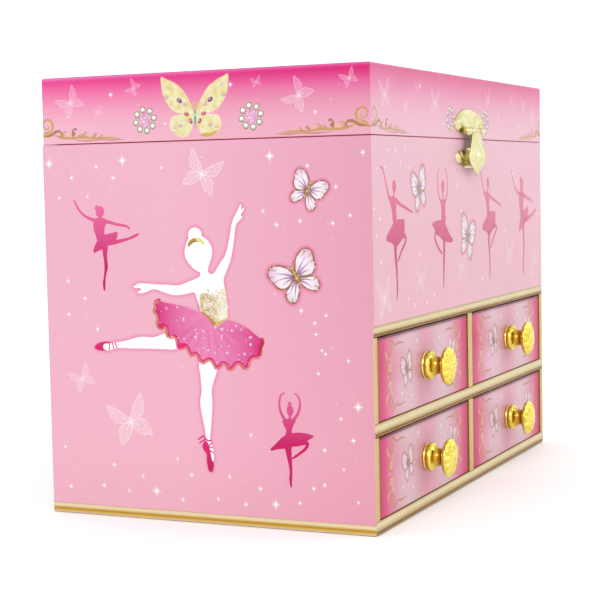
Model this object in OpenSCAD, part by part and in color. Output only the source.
// Musical jewellery box with a hinged lid, four drawers, a spring-driven
// movement and a dancer that turns on a platform inside.
// X runs across the drawers, -Y is the front, +Z is up.
// The origin is the centre of the face that the box stands on.

/* [Box] */
// Overall width, across the two columns of drawers
box_w = 205; // [195:1:230]
// Overall depth, from the gold front frame to the back panel
box_d = 130; // [126:1:150]
// Overall height with the lid closed
box_h = 160; // [158:1:172]
// Height of the lid above the seam
lid_h = 24; // [22:1:26]
// Thickness of the side and front panels
wall_t = 3; // [2.5:0.1:4]
// Thickness of the back panel
back_t = 5; // [4:0.5:6]
// Radius of the box's vertical corners and of the lid's top edges
edge_r = 0.9; // [0.5:0.1:1.5]
// Thickness of the liner that rises inside the walls as a lip for the lid
liner_t = 2; // [1.5:0.1:2.5]

/* [Drawers] */
// Height of the top of the deck above the drawers
deck_top = 71.5; // [70:0.5:73]
// Centre height of the rail between the two rows of drawers
mid_rail_z = 35.8; // [35:0.1:36.5]
// Height of the middle rail of the front frame
mid_rail_h = 4.6; // [4:0.1:5]
// Depth of a drawer tray behind its front
tray_d = 112; // [90:1:114]
// Thickness of the tray boards
tray_t = 2; // [1.5:0.1:2.5]
// Outer radius of a drawer knob
knob_r = 7; // [6:0.1:8]
// How far a knob stands out of its drawer front
knob_len = 11.6; // [10:0.1:16]

/* [Clasp and hinges] */
// Width of the clasp plates
clasp_w = 33; // [24:1:36]
// Width of the clasp tongue
tongue_w = 12; // [10:0.5:14]
// Width of the tongue's leaf at its widest
leaf_w = 20; // [14:0.5:22]
// Distance from the middle of the box to each hinge
hinge_x = 58; // [45:1:70]
// Width of each hinge
hinge_w = 26; // [20:1:30]

/* [Movement and figure] */
// Height of the top of the dancer's platform
platform_top = 104; // [104:0.5:105]
// Teeth on the crown wheel that the spring drives
crown_teeth = 36; // [36:2:36]
// Teeth on the spindle's pinion
pinion_teeth = 20; // [20:2:20]
// Notes on the comb
notes = 18; // [12:1:18]
// Radius of the dancer's skirt
tutu_r = 9.5; // [8:0.5:11]

/* [Hidden] */
$fn = 48;
gap = 0.05;            // keeps boards of one node apart
slide_gap = 0.3;       // free space round what slides or swings

x_out = box_w / 2;
y_front = -box_d / 2;
y_back = box_d / 2;
x_in = x_out - wall_t;
y_in = y_back - back_t;
x_room = x_in - liner_t;
y_room_front = y_front + wall_t + liner_t;
y_room_back = y_in - liner_t;

seam_z = box_h - lid_h;
body_top = seam_z - 0.4;
back_top = seam_z - 1;
back_round = 1.6;
lip_top = seam_z + 4;

frame_t = 1.5;
stile_w = 3;
centre_stile_w = 4.5;
rail_bottom = [0, 4.6];
rail_middle = [mid_rail_z - mid_rail_h / 2, mid_rail_z + mid_rail_h / 2];
rail_top = [deck_top - 3.8, deck_top];
board_t = 3.1;

divider_t = 3;
drawer_inner_x = centre_stile_w / 2 + slide_gap;
drawer_outer_x = x_out - stile_w - slide_gap;
drawer_mid_x = (drawer_inner_x + drawer_outer_x) / 2;
drawer_recess = 0.8;
front_t = 3;
front_y = y_front + drawer_recess;
floor_gap = 0.15;
top_gap = 0.7;
tray_side_gap = 0.35;
tray_drop = 3;

lining_t = 1;
lining_top = deck_top + lining_t;

lid_top_t = 4;
lid_wall_t = 2.5;
lid_back_t = 4;
lid_back_y = y_back - 0.5;
lid_in_top = box_h - lid_top_t;
lid_lining_t = 2.4;
mirror_t = 1.6;
mirror_x = x_out - 24;
mirror_y = [y_front + 19, y_back - 21];

hinge_y = y_back + 1.6;
hinge_z = seam_z - 0.5;
knuckle_r = 1.6;
hinge_pin_r = 0.8;
leaf_t = 0.8;
leaf_h = 13;

clasp_pivot = [0, y_front - 2.6, seam_z + 2.6];
clasp_barrel_r = 1.5;
clasp_pin_r = 0.7;
clasp_t = 0.8;
clasp_plate_h = 9.5;
clasp_plate_z = seam_z + 6;
clasp_ear_w = 4.5;
clasp_ear_x = tongue_w / 2 + 2;
catch_h = 8;
catch_mid_z = seam_z - 7.6;
nub_z = seam_z - 9;

spindle_y = y_room_back - 20.8;
arbor_z = deck_top + 14;
gear_module = 0.6;
crown_pitch_r = crown_teeth * gear_module / 2;
pinion_pitch_r = pinion_teeth * gear_module / 2;
tooth_add = 0.45;
tooth_ded = 0.7;
crown_y = spindle_y + pinion_pitch_r + tooth_ded;
crown_t = 1.6;
barrel_r = 12;
barrel_y = [crown_y + crown_t + 0.5, y_room_back - 2];
arbor_r = 2;
spindle_r = 1.5;
pivot_r = 1;
drum_r = 5.2;
drum_z = [deck_top + 5.5, deck_top + 21];
pin_out = 0.6;
fast_module = 0.5;
fast_teeth = [30, 15];
fast_z = deck_top + 27.1;
wheel_x = (fast_teeth[0] + fast_teeth[1]) * fast_module / 2;
worm_teeth = 16;
worm_wheel_r = worm_teeth * 0.7 / 2;
worm_r = 1.6;
worm_wave = 0.42;
worm_turns = 2;
worm_pitch = 2 * PI * worm_wheel_r / worm_teeth;
worm_x = wheel_x + worm_wheel_r + worm_r + 0.2;
worm_z = deck_top + 22.7;
wheel_arbor_r = 0.8;
governor_shaft_r = 0.6;
fan_r = 5.5;
base_plate_z = [lining_top, lining_top + 1.5];
bridge_z = [platform_top - 3.8, platform_top - 2.6];
platform_t = 2;
housing_x = 31;
housing_front_y = spindle_y - 25.2;
partition_t = 2;
partition_top = deck_top + 21;
cushion_d = 11.4;
cushion_pitch = 11.8;
cushion_count = 4;
cushion_h = 16;
stop_x = 26;
stop_y = spindle_y + 10;
turntable_z = [platform_top + 0.5, platform_top + 2];
figure_z = turntable_z[1] + 6;
function note_z(i) = drum_z[0] + 1.1 + (drum_z[1] - drum_z[0] - 2.2) * i / (notes - 1);

// ---- colours ----
pink = "#f3b4c8";
hot_pink = "#e0307f";
gold = "#d9bf6a";
bright_gold = "#e8c030";
steel = "#b8bcc2";
brass = "#c9a24a";
lining_pink = "#f6c9d8";
skin = "#f4d6c4";

// ---- shared shapes ----

// A board between two opposite corners
module board(lo, hi) translate(lo) cube(hi - lo);

// A rod along +Y from its front end
module rod_y(r, y0, y1, x = 0, z = 0) translate([x, y0, z]) rotate([-90, 0, 0]) cylinder(r = r, h = y1 - y0);

// A rod along +Z
module rod_z(r, z0, z1, x = 0, y = 0) translate([x, y, z0]) cylinder(r = r, h = z1 - z0);

// A rod along +X, centred on x
module rod_x(r, w, x, y, z) translate([x - w / 2, y, z]) rotate([0, 90, 0]) cylinder(r = r, h = w);

// Keeps what lies within the box's rounded plan, from the front to y_end
module in_plan(y_end) intersection() {
  children();
  translate([0, 0, -1]) linear_extrude(box_h + 2) {
    translate([edge_r - x_out, y_front]) square([box_w - 2 * edge_r, y_end - y_front]);
    translate([-x_out, y_front + edge_r]) square([box_w, y_end - y_front - 2 * edge_r]);
    for (x = [edge_r - x_out, x_out - edge_r]) for (y = [y_front + edge_r, y_end - edge_r])
      translate([x, y]) circle(r = edge_r);
  }
}

// Half the angle that a width w takes up at radius r
function half_angle(w, r) = w / 2 / r * 180 / PI;

// Spur gear outline; root and tip are the tooth's widths there
module gear_outline(teeth, pitch_r, root, tip) {
  ri = pitch_r - tooth_ded;
  ro = pitch_r + tooth_add;
  polygon([for (i = [0 : teeth - 1]) for (c = [
    [ri, -half_angle(root, ri)], [ro, -half_angle(tip, ro)],
    [ro, half_angle(tip, ro)], [ri, half_angle(root, ri)]])
    let (a = 360 / teeth * i + c[1]) c[0] * [cos(a), sin(a)]]);
}

// Wheel outline with rounded, wave-shaped teeth for a worm
module wave_outline(teeth, r, wave) polygon([for (i = [0 : teeth * 12 - 1])
  let (a = 360 * i / (teeth * 12)) (r + wave * cos(teeth * a)) * [cos(a), sin(a)]]);

// ---- case ----

module side_panel(side) color(pink) in_plan(y_back) mirror([side < 0 ? 1 : 0, 0, 0]) {
  board([x_in, y_front + frame_t, 0], [x_out, y_in, deck_top + gap]);
  board([x_in, y_front, deck_top], [x_out, y_in, body_top]);
}

module side_panel_left() side_panel(-1);

module side_panel_right() side_panel(1);

// Full-width back panel, rounded along its top edge, with the hole for the winding arbor
module back_panel() color(pink) in_plan(y_back) difference() {
  union() {
    board([-x_out, y_in, 0], [x_out, y_back, back_top - back_round]);
    board([-x_out, y_in, back_top - back_round - gap], [x_out, y_back - back_round, back_top]);
    rod_x(back_round, box_w, 0, y_back - back_round, back_top - back_round);
  }
  rod_y(arbor_r + 1.2, y_in - 1, y_back + 1, 0, arbor_z);
}

module front_panel() color(pink)
  board([-x_in, y_front, deck_top], [x_in, y_front + wall_t, body_top]);

module base_board() color(pink)
  board([-x_in, y_front + frame_t, 0], [x_in, y_in, rail_bottom[1]]);

module deck_board() color(pink)
  board([-x_in, y_front + frame_t, deck_top - board_t], [x_in, y_in, deck_top]);

module drawer_shelf() color(pink) for (s = [-1, 1])
  board([s < 0 ? -x_in : divider_t / 2, y_front + frame_t, rail_middle[1] - board_t],
        [s < 0 ? -divider_t / 2 : x_in, y_in, rail_middle[1]]);

module drawer_divider() color(pink)
  board([-divider_t / 2, y_front + frame_t, rail_bottom[1]],
        [divider_t / 2, y_in, deck_top - board_t]);

// Section of a front frame strip from a to b, with eased front edges, as [along, y] points
function strip_section(a, b) = let (ease = 0.5, back = y_front + frame_t)
  [[a, back], [a, y_front + ease], [a + ease, y_front], [b - ease, y_front],
   [b, y_front + ease], [b, back]];

module frame_rail(z) translate([-x_out, 0, 0]) rotate([90, 0, 90]) linear_extrude(box_w)
  polygon([for (p = strip_section(z[0], z[1])) [p[1], p[0]]]);

module frame_stile(x, z) translate([0, 0, z[0] + gap]) linear_extrude(z[1] - z[0] - 2 * gap)
  polygon(strip_section(x[0], x[1]));

module front_frame() color(gold) in_plan(y_back) {
  for (z = [rail_bottom, rail_middle, rail_top]) frame_rail(z);
  for (z = [[rail_bottom[1], rail_middle[0]], [rail_middle[1], rail_top[0]]])
    for (x = [[-x_out, -x_out + stile_w], [-centre_stile_w / 2, centre_stile_w / 2],
              [x_out - stile_w, x_out]])
      frame_stile(x, z);
}

module rim_liner() color(lining_pink) {
  board([-x_in, y_front + wall_t, deck_top], [x_in, y_room_front, lip_top]);
  difference() {
    board([-x_in, y_room_back, deck_top], [x_in, y_in, lip_top]);
    rod_y(arbor_r + 1.2, y_room_back - 1, y_in + 1, 0, arbor_z);
  }
  for (s = [-1, 1]) mirror([s < 0 ? 1 : 0, 0, 0])
    board([x_room, y_room_front + gap, deck_top], [x_in, y_room_back - gap, lip_top]);
}

module floor_lining() color(lining_pink)
  board([-x_room + gap, y_room_front + gap, deck_top], [x_room - gap, y_room_back - gap, lining_top]);

// Two partitions, low in front and high beside the movement, and the movement's front wall
module compartment_walls() color(lining_pink) {
  for (s = [-1, 1]) mirror([s < 0 ? 1 : 0, 0, 0]) {
    board([housing_x, y_room_front + gap, lining_top],
          [housing_x + partition_t, housing_front_y - gap, partition_top]);
    board([housing_x, housing_front_y, lining_top],
          [housing_x + partition_t, y_room_back - gap, platform_top - platform_t]);
  }
  board([-housing_x + gap, housing_front_y, lining_top],
        [housing_x - gap, housing_front_y + partition_t, platform_top - platform_t]);
}

module platform() color(lining_pink) difference() {
  board([-housing_x - partition_t, housing_front_y, platform_top - platform_t],
        [housing_x + partition_t, y_room_back - gap, platform_top]);
  rod_z(spindle_r + 1, platform_top - platform_t - 1, platform_top + 1, 0, spindle_y);
  rod_z(1.4, platform_top - platform_t - 1, platform_top + 1, stop_x, stop_y);
}

// Upright padded rolls that hold rings, in the front of the left compartment
module ring_cushions() color("#f2a0c0") for (i = [0 : cushion_count - 1])
  translate([-x_room + 0.5, y_room_front + 0.5 + cushion_d / 2 + i * cushion_pitch, lining_top])
    rotate([90, 0, 90]) linear_extrude(x_room - housing_x - partition_t - 1) {
      translate([-cushion_d / 2, 0]) square([cushion_d, cushion_h - cushion_d / 2]);
      translate([0, cushion_h - cushion_d / 2]) circle(r = cushion_d / 2);
    }

// ---- hinges ----

module hinge_leaf(x, y, z0, z1)
  board([x - hinge_w / 2, y, z0], [x + hinge_w / 2, y + leaf_t, z1]);

module hinge_bore() for (s = [-1, 1])
  rod_x(hinge_pin_r + 0.05, hinge_w + 2, s * hinge_x, hinge_y, hinge_z);

// Places of a hinge leaf's two nails
module at_leaf_nails(y, z) for (s = [-1, 1]) for (k = [-1, 1])
  translate([s * hinge_x + k * (hinge_w / 2 - 4), y, z]) children();

// A domed nail that points along +Y; its head's underside is at the origin
module nail() rotate([-90, 0, 0]) {
  cylinder(r = 0.5, h = 3.2);
  mirror([0, 0, 1]) cylinder(r1 = 1.3, r2 = 0.7, h = 0.5);
}

module nail_hole() rotate([-90, 0, 0]) translate([0, 0, -2]) cylinder(r = 0.55, h = 4);

// Leaf on the back panel with the outer knuckles
module body_hinge_leaves() color(gold) difference() {
  for (s = [-1, 1]) {
    hinge_leaf(s * hinge_x, y_back, hinge_z - leaf_h, hinge_z - knuckle_r - 0.1);
    for (k = [-1, 1]) {
      rod_x(knuckle_r, 8, s * hinge_x + k * 9, hinge_y, hinge_z);
      board([s * hinge_x + k * 9 - 4, y_back, hinge_z - knuckle_r - 0.2],
            [s * hinge_x + k * 9 + 4, y_back + leaf_t, hinge_z]);
    }
  }
  hinge_bore();
  at_leaf_nails(y_back, hinge_z - 8) nail_hole();
}

// Leaf on the lid's back wall with the middle knuckle
module lid_hinge_leaves() color(gold) difference() {
  for (s = [-1, 1]) {
    hinge_leaf(s * hinge_x, lid_back_y, hinge_z + knuckle_r + 0.6, hinge_z + leaf_h);
    rod_x(knuckle_r, 9.4, s * hinge_x, hinge_y, hinge_z);
    board([s * hinge_x - 4.7, lid_back_y, hinge_z + 0.6],
          [s * hinge_x + 4.7, lid_back_y + 1.4, hinge_z + 4]);
  }
  hinge_bore();
  at_leaf_nails(lid_back_y, hinge_z + 9) nail_hole();
}

module hinge_pins() color(steel) for (s = [-1, 1])
  rod_x(hinge_pin_r, hinge_w, s * hinge_x, hinge_y, hinge_z);

// ---- clasp ----

// Outline of a clasp plate with lobed ends
module clasp_outline(h) {
  square([clasp_w - h * 0.8, h], center = true);
  for (s = [-1, 1]) translate([s * (clasp_w / 2 - h * 0.4), 0]) circle(r = h * 0.4);
}

module at_clasp_nails(y, z) for (s = [-1, 1])
  translate([s * (clasp_w / 2 - 3.5), y, z]) children();

module clasp_bore(r) rod_x(r, clasp_w, clasp_pivot[0], clasp_pivot[1], clasp_pivot[2]);

// Plate on the lid with the two outer barrels
module clasp_plate() color(gold) difference() {
  union() {
    translate([0, y_front, clasp_plate_z]) rotate([90, 0, 0]) linear_extrude(clasp_t)
      clasp_outline(clasp_plate_h);
    for (s = [-1, 1]) {
      rod_x(clasp_barrel_r, clasp_ear_w, s * clasp_ear_x, clasp_pivot[1], clasp_pivot[2]);
      board([s * clasp_ear_x - clasp_ear_w / 2, clasp_pivot[1], clasp_pivot[2]],
            [s * clasp_ear_x + clasp_ear_w / 2, y_front - 0.1, clasp_pivot[2] + clasp_barrel_r]);
    }
  }
  clasp_bore(clasp_pin_r + 0.05);
  at_clasp_nails(y_front, clasp_plate_z + 1) nail_hole();
}

module clasp_pin() color(steel)
  rod_x(clasp_pin_r, tongue_w + 8.5, clasp_pivot[0], clasp_pivot[1], clasp_pivot[2]);

// The tongue hangs from its barrel, a little in front of the catch
module clasp_tongue() color(gold) {
  drop = clasp_pivot[2] - seam_z + 14.5;
  half = tongue_w / 2;
  plate_y = clasp_pivot[1] - clasp_barrel_r + 0.9;
  difference() {
    union() {
      rod_x(clasp_barrel_r, tongue_w - 0.9, clasp_pivot[0], clasp_pivot[1], clasp_pivot[2]);
      translate([0, plate_y, clasp_pivot[2]]) rotate([90, 0, 0]) linear_extrude(0.9)
        polygon([[0.5 - half, 0], [half - 0.5, 0], [half - 0.7, -2.4], [leaf_w / 2, -drop * 0.5],
                 [leaf_w / 2, -drop * 0.7], [0, -drop], [-leaf_w / 2, -drop * 0.7],
                 [-leaf_w / 2, -drop * 0.5], [0.7 - half, -2.4]]);
      translate([0, plate_y - 0.5, nub_z]) rotate([90, 0, 0]) cylinder(r1 = 4.2, r2 = 2.4, h = 2.2);
    }
    clasp_bore(clasp_pin_r + 0.05);
  }
}

// Plate on the front panel with the nub that the tongue presses over
module clasp_catch() color(gold) {
  difference() {
    translate([0, y_front, catch_mid_z]) rotate([90, 0, 0]) linear_extrude(clasp_t)
      clasp_outline(catch_h);
    at_clasp_nails(y_front, catch_mid_z) nail_hole();
  }
  translate([0, y_front - clasp_t + 0.1, nub_z]) rotate([90, 0, 0]) cylinder(r1 = 1.6, r2 = 1.2, h = 1.2);
}

module body_nails() color(bright_gold) {
  at_clasp_nails(y_front - clasp_t, catch_mid_z) nail();
  at_leaf_nails(y_back + leaf_t, hinge_z - 8) rotate([0, 0, 180]) nail();
}

module lid_nails() color(bright_gold) {
  at_clasp_nails(y_front - clasp_t, clasp_plate_z + 1) nail();
  at_leaf_nails(lid_back_y + leaf_t, hinge_z + 9) rotate([0, 0, 180]) nail();
}

// ---- lid ----

module lid_top() color(hot_pink) hull() for (x = [edge_r - x_out, x_out - edge_r])
  for (y = [y_front + edge_r, lid_back_y - edge_r]) translate([x, y, lid_in_top]) {
    cylinder(r = edge_r, h = lid_top_t - edge_r, $fn = 32);
    translate([0, 0, lid_top_t - edge_r]) sphere(r = edge_r, $fn = 32);
  }

module lid_walls() color(pink) in_plan(lid_back_y) {
  board([-x_out, y_front, seam_z], [x_out, y_front + lid_wall_t, lid_in_top]);
  board([-x_out, lid_back_y - lid_back_t, seam_z], [x_out, lid_back_y, lid_in_top]);
  for (s = [-1, 1]) mirror([s < 0 ? 1 : 0, 0, 0])
    board([x_out - lid_wall_t, y_front + lid_wall_t + gap, seam_z],
          [x_out, lid_back_y - lid_back_t - gap, lid_in_top]);
}

// Four padded boards that frame the mirror under the lid
module lid_lining() color(lining_pink) {
  x_edge = x_out - lid_wall_t - gap;
  y_edge = [y_front + lid_wall_t + gap, lid_back_y - lid_back_t - gap];
  z = [lid_in_top - lid_lining_t, lid_in_top];
  board([-x_edge, y_edge[0], z[0]], [x_edge, mirror_y[0] - gap, z[1]]);
  board([-x_edge, mirror_y[1] + gap, z[0]], [x_edge, y_edge[1], z[1]]);
  for (s = [-1, 1]) mirror([s < 0 ? 1 : 0, 0, 0])
    board([mirror_x + gap, mirror_y[0], z[0]], [x_edge, mirror_y[1], z[1]]);
}

module mirror_glass() color("#dfe8ee")
  board([-mirror_x, mirror_y[0], lid_in_top - mirror_t], [mirror_x, mirror_y[1], lid_in_top]);

// ---- drawers: 1 upper left, 2 upper right, 3 lower left, 4 lower right ----

function drawer_side(n) = n % 2 == 1 ? -1 : 1;

function drawer_z(n) = n <= 2 ? [rail_middle[1], rail_top[0]] : [rail_bottom[1], rail_middle[0]];

module on_drawer_side(n) mirror([drawer_side(n) < 0 ? 1 : 0, 0, 0]) children();

function knob_z(n) = (drawer_z(n)[0] + slide_gap + drawer_z(n)[1] - top_gap) / 2;

module drawer_front(n) color(hot_pink) on_drawer_side(n) difference() {
  board([drawer_inner_x, front_y, drawer_z(n)[0] + slide_gap],
        [drawer_outer_x, front_y + front_t, drawer_z(n)[1] - top_gap]);
  rod_y(1.6, front_y - 1, front_y + front_t + 1, drawer_mid_x, knob_z(n));
}

module drawer_tray(n) color(lining_pink) on_drawer_side(n) {
  x = [centre_stile_w / 2 + tray_side_gap, x_in - tray_side_gap];
  y = [front_y + front_t, front_y + front_t + tray_d];
  z = [drawer_z(n)[0] + floor_gap, drawer_z(n)[1] - top_gap - tray_drop];
  board([x[0], y[0] + gap, z[0]], [x[1], y[1], z[0] + tray_t]);
  board([x[0], y[1] - tray_t, z[0] + tray_t + gap], [x[1], y[1], z[1]]);
  for (side = [[x[0], x[0] + tray_t], [x[1] - tray_t, x[1]]])
    board([side[0], y[0] + gap, z[0] + tray_t + gap], [side[1], y[1] - tray_t - gap, z[1]]);
}

// Turned knob with its screw from inside the drawer
module drawer_knob(n) translate([drawer_side(n) * drawer_mid_x, front_y, knob_z(n)]) {
  color(bright_gold) rotate([90, 0, 0]) difference() {
    rotate_extrude() polygon([[0, 0], [knob_r * 0.74, 0], [knob_r * 0.74, knob_len * 0.12],
      [knob_r * 0.5, knob_len * 0.26], [knob_r * 0.5, knob_len * 0.48], [knob_r, knob_len * 0.62],
      [knob_r, knob_len * 0.78], [knob_r * 0.8, knob_len * 0.94], [knob_r * 0.45, knob_len],
      [0, knob_len]]);
    translate([0, 0, -1]) cylinder(r = 1.5, h = 8);
  }
  color(steel) {
    rod_y(1.45, -6, front_t + 0.2);
    rod_y(3.2, front_t + 0.1, front_t + 1.6);
  }
}

// ---- movement ----

module movement_base() color(brass) difference() {
  board([-28, spindle_y - 15, base_plate_z[0]], [28, crown_y - 1.9, base_plate_z[1]]);
  rod_z(pivot_r + 0.05, base_plate_z[0] - 1, base_plate_z[1] + 1, 0, spindle_y);
  rod_z(wheel_arbor_r + 0.05, base_plate_z[0] - 1, base_plate_z[1] + 1, wheel_x, spindle_y);
}

module bedplate() color(brass) difference() {
  board([-27, barrel_y[1], lining_top], [27, y_room_back - gap, bridge_z[1]]);
  rod_y(arbor_r + 0.05, barrel_y[1] - 1, y_room_back + 1, 0, arbor_z);
}

module top_bridge() color(brass) difference() {
  board([-8, spindle_y - 6, bridge_z[0]], [16, barrel_y[1], bridge_z[1]]);
  rod_z(spindle_r + 0.05, bridge_z[0] - 1, bridge_z[1] + 1, 0, spindle_y);
  rod_z(wheel_arbor_r + 0.05, bridge_z[0] - 1, bridge_z[1] + 1, wheel_x, spindle_y);
}

module spring_barrel() color(brass) difference() {
  rod_y(barrel_r, barrel_y[0], barrel_y[1], 0, arbor_z);
  rod_y(barrel_r - 0.8, barrel_y[0] + 0.8, barrel_y[1] + 1, 0, arbor_z);
  rod_y(arbor_r + 0.05, barrel_y[0] - 1, barrel_y[1], 0, arbor_z);
}

// Point i of the mainspring's spiral, moved outwards by extra
function spiral_point(i, steps, turns, extra) = let (a = 360 * turns * i / steps,
  r = arbor_r + 0.5 + (barrel_r - arbor_r - 2.4) * i / steps + extra) r * [cos(a), sin(a)];

// Flat strip wound in a spiral
module mainspring() color(steel) {
  turns = 6;
  steps = turns * 20;
  strip = 0.4;
  translate([0, barrel_y[1] - 0.4, arbor_z]) rotate([90, 0, 0])
    linear_extrude(barrel_y[1] - barrel_y[0] - 1.8)
      polygon(concat([for (i = [0 : steps]) spiral_point(i, steps, turns, 0)],
                     [for (i = [steps : -1 : 0]) spiral_point(i, steps, turns, strip)]));
}

// Crown wheel, with teeth that point to the front, on the arbor that the key turns
module drive_wheel() color(brass) translate([0, 0, arbor_z]) {
  rod_y(arbor_r, crown_y, y_back + 5);
  rod_y(crown_pitch_r + 1.3, crown_y, crown_y + crown_t);
  for (i = [0 : crown_teeth - 1]) rotate([0, 360 / crown_teeth * i, 0])
    translate([0, crown_y, crown_pitch_r - 0.9]) linear_extrude(1.8)
      polygon([[-0.6, 0.2], [-0.22, -tooth_ded - tooth_add],
               [0.22, -tooth_ded - tooth_add], [0.6, 0.2]]);
}

module winding_key() color(gold) difference() {
  union() {
    rod_y(3.2, y_back + 1, y_back + 7, 0, arbor_z);
    translate([-1.1, y_back + 10, arbor_z]) rotate([90, 0, 90]) linear_extrude(2.2) {
      for (s = [-1, 1]) translate([-0.5, s * 5]) circle(r = 4.8);
      translate([-4, -3]) square([4, 6]);
    }
  }
  rod_y(arbor_r + 0.02, y_back, y_back + 5.1, 0, arbor_z);
}

// Steel spindle from the lower pivot up to the dancer's turntable
module spindle() color(steel) {
  rod_z(pivot_r, base_plate_z[0] + 0.1, drum_z[0] - 1, 0, spindle_y);
  rod_z(spindle_r, drum_z[0] - 1.5, turntable_z[1], 0, spindle_y);
}

module pin_cylinder() color(brass) translate([0, spindle_y, 0]) {
  difference() {
    rod_z(drum_r, drum_z[0], drum_z[1]);
    rod_z(spindle_r + 0.02, drum_z[0] - 1, drum_z[1] + 1);
  }
  for (i = [0 : notes - 1]) for (k = [0 : 2])
    translate([0, 0, note_z(i)]) rotate([0, 0, 137.5 * i + 120 * k + 20])
      translate([drum_r - 0.2, -0.2, -0.15]) cube([pin_out + 0.2, 0.4, 0.3]);
}

// Pinion that the crown wheel turns, and the wheel that drives the governor
module spindle_gears() color(brass) translate([0, spindle_y, 0]) difference() {
  union() {
    translate([0, 0, arbor_z + crown_pitch_r - 1.2]) linear_extrude(2.4) rotate(180 / pinion_teeth)
      gear_outline(pinion_teeth, pinion_pitch_r, 1.15, 0.45);
    translate([0, 0, fast_z]) linear_extrude(1)
      gear_outline(fast_teeth[0], fast_teeth[0] * fast_module / 2, 0.95, 0.35);
    rod_z(3, arbor_z + crown_pitch_r - 1.2, fast_z + 0.5);
  }
  rod_z(spindle_r + 0.02, 0, box_h);
}

module worm_wheel() color(brass) translate([wheel_x, spindle_y, 0]) {
  rod_z(wheel_arbor_r, base_plate_z[0] + 0.1, bridge_z[1] - 0.1);
  rod_z(1.6, worm_z - 2, worm_z + 2);
  translate([0, 0, worm_z - 0.4]) linear_extrude(0.8)
    wave_outline(worm_teeth, worm_wheel_r, worm_wave - 0.04);
  translate([0, 0, fast_z - 0.2]) linear_extrude(1.4)
    gear_outline(fast_teeth[1], fast_teeth[1] * fast_module / 2, 0.95, 0.35);
}

// Worm and two-bladed fan that hold the speed steady
module governor() color(steel) translate([worm_x, 0, worm_z]) {
  rod_y(governor_shaft_r, spindle_y - 9.2, spindle_y + 13.8);
  translate([0, spindle_y - worm_turns * worm_pitch / 2, 0]) rotate([-90, 0, 0])
    linear_extrude(worm_turns * worm_pitch, twist = -360 * worm_turns, slices = 12 * worm_turns)
      translate([worm_wave, 0]) circle(r = worm_r, $fn = 12);
  rod_y(1.2, spindle_y + 6.8, spindle_y + 12.8);
  board([-fan_r, spindle_y + 7.3, -0.25], [fan_r, spindle_y + 12.3, 0.25]);
}

module governor_bracket() color(brass) translate([worm_x, 0, 0]) difference() {
  union() {
    board([-2, spindle_y - 8.2, base_plate_z[1]], [2, spindle_y + 4.4, base_plate_z[1] + 1]);
    for (y = [-8.2, 4.3]) board([-2, spindle_y + y, base_plate_z[1]], [2, spindle_y + y + 1.5, worm_z + 2]);
  }
  rod_y(governor_shaft_r + 0.05, spindle_y - 10, spindle_y + 8, 0, worm_z);
}

module comb_block() color(brass) difference() {
  board([-26, spindle_y + 0.5, base_plate_z[1]], [-18, crown_y - 1.9, drum_z[1]]);
  at_comb_screws() rod_y(1.05, -1, 4);
}

// One steel plate cut into a tooth for each note
module comb() color(steel) difference() {
  translate([0, spindle_y + 0.5, 0]) rotate([90, 0, 0]) linear_extrude(1) {
    translate([-25, drum_z[0] + 0.2]) square([8, drum_z[1] - drum_z[0]]);
    for (i = [0 : notes - 1]) translate([-17.5, note_z(i) - 0.25])
      square([17.5 - drum_r - pin_out - 0.3, 0.5]);
  }
  at_comb_screws() rod_y(1.05, -2, 2);
}

module at_comb_screws() for (z = [drum_z[0] + 3, drum_z[1] - 3])
  translate([-21.5, spindle_y + 0.5, z]) children();

module comb_screws() color(steel) at_comb_screws() {
  rod_y(1, -1.1, 3.5);
  rod_y(1.9, -2.2, -1);
}

// Wire that the lid presses down to stop the fan
module stop_wire() color(steel) translate([stop_x, stop_y, 0]) {
  rod_z(0.8, worm_z, lid_in_top - lid_lining_t - 0.2);
  rod_z(1.8, platform_top - 6.5, platform_top - 5.5);
}

// ---- dancer ----

module turntable() color("white") difference() {
  rod_z(9, turntable_z[0], turntable_z[1], 0, spindle_y);
  rod_z(spindle_r + 0.02, turntable_z[0] - 1, turntable_z[1] + 1, 0, spindle_y);
}

// Coil that lets the dancer bend
module figure_spring() color(steel) {
  turns = 6;
  steps = turns * 14;
  sides = 6;
  wire = 0.35;
  coil = 2.2;
  rise = figure_z - turntable_z[1] - 2 * wire;
  points = [for (i = [0 : steps]) for (k = [0 : sides - 1])
    let (a = 360 * turns * i / steps, b = 360 * k / sides, r = coil + wire * cos(b))
    [r * cos(a), r * sin(a), wire + rise * i / steps + wire * sin(b)]];
  faces = concat([[for (k = [0 : sides - 1]) k]],
    [for (i = [0 : steps - 1]) for (k = [0 : sides - 1]) let (m = (k + 1) % sides)
      [i * sides + k, (i + 1) * sides + k, (i + 1) * sides + m, i * sides + m]],
    [[for (k = [sides - 1 : -1 : 0]) steps * sides + k]]);
  translate([0, spindle_y, turntable_z[1]]) polyhedron(points, faces);
}

// A limb between two balls
module limb(a, b, ra, rb) hull() {
  translate(a) sphere(r = ra, $fn = 16);
  translate(b) sphere(r = rb, $fn = 16);
}

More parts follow.
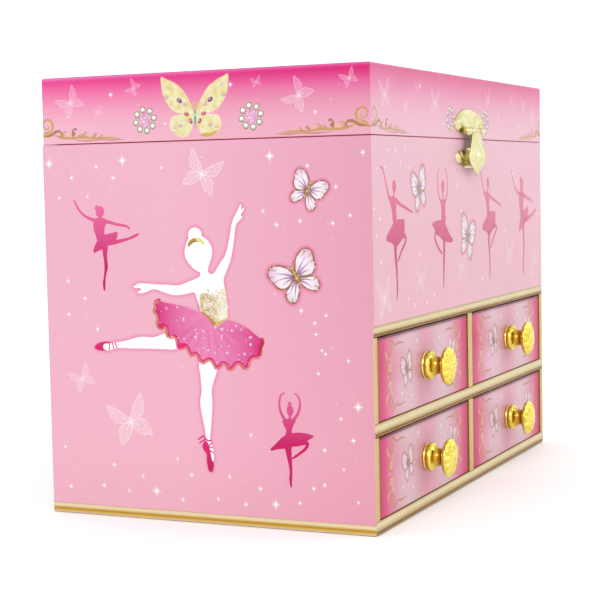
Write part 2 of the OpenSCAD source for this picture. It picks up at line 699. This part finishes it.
// Plain moulded dancer on her points with both arms raised in a ring
module ballerina() color(skin) translate([0, spindle_y, figure_z]) {
  translate([0, 0, turntable_z[1] - figure_z]) cylinder(r = 1.2, h = 7);
  for (s = [-1, 1]) {
    limb([s * 0.5, 0, 0.9], [s * 0.8, 0, 8.5], 0.6, 1.1);
    limb([s * 0.8, 0, 8.5], [s * 0.6, 0, 16], 1.1, 1.3);
    limb([s * 2.1, 0, 24.6], [s * 4.6, -0.8, 29.5], 0.75, 0.6);
    limb([s * 4.6, -0.8, 29.5], [s * 1.2, -1.6, 37], 0.6, 0.45);
  }
  limb([0, 0, 16], [0, 0, 20], 1.9, 1.35);
  limb([0, 0, 20], [0, 0, 24.2], 1.35, 1.9);
  limb([0, 0, 24.2], [0, 0, 28], 0.8, 0.7);
  limb([0, 0, 29], [0, -0.2, 29.6], 2, 2);
  limb([0, 1.2, 31.2], [0, 1.2, 31.5], 1, 1);
}

module tutu() color("#f7b8d0") translate([0, spindle_y, figure_z]) rotate_extrude()
  polygon([[2.1, 15.2], [tutu_r, 14.2], [tutu_r, 15], [2.1, 17.6]]);

// ---- what is drawn ----
side_panel_left();
side_panel_right();
back_panel();
front_panel();
base_board();
deck_board();
drawer_shelf();
drawer_divider();
front_frame();
rim_liner();
floor_lining();
compartment_walls();
platform();
ring_cushions();
clasp_catch();
body_hinge_leaves();
hinge_pins();
body_nails();
movement_base();
bedplate();
top_bridge();
spring_barrel();
mainspring();
comb_block();
comb();
comb_screws();
governor_bracket();
lid_top();
lid_walls();
lid_lining();
mirror_glass();  // mirror
lid_hinge_leaves();
clasp_plate();
clasp_pin();
lid_nails();
clasp_tongue();
drawer_front(1);  // drawer_front_1
drawer_front(2);  // drawer_front_2
drawer_front(3);  // drawer_front_3
drawer_front(4);  // drawer_front_4
drawer_tray(1);  // drawer_tray_1
drawer_tray(2);  // drawer_tray_2
drawer_tray(3);  // drawer_tray_3
drawer_tray(4);  // drawer_tray_4
drawer_knob(1);  // drawer_knob_1
drawer_knob(2);  // drawer_knob_2
drawer_knob(3);  // drawer_knob_3
drawer_knob(4);  // drawer_knob_4
spindle();
pin_cylinder();
spindle_gears();
turntable();
figure_spring();
ballerina();
tutu();
drive_wheel();
winding_key();
worm_wheel();
governor();
stop_wire();
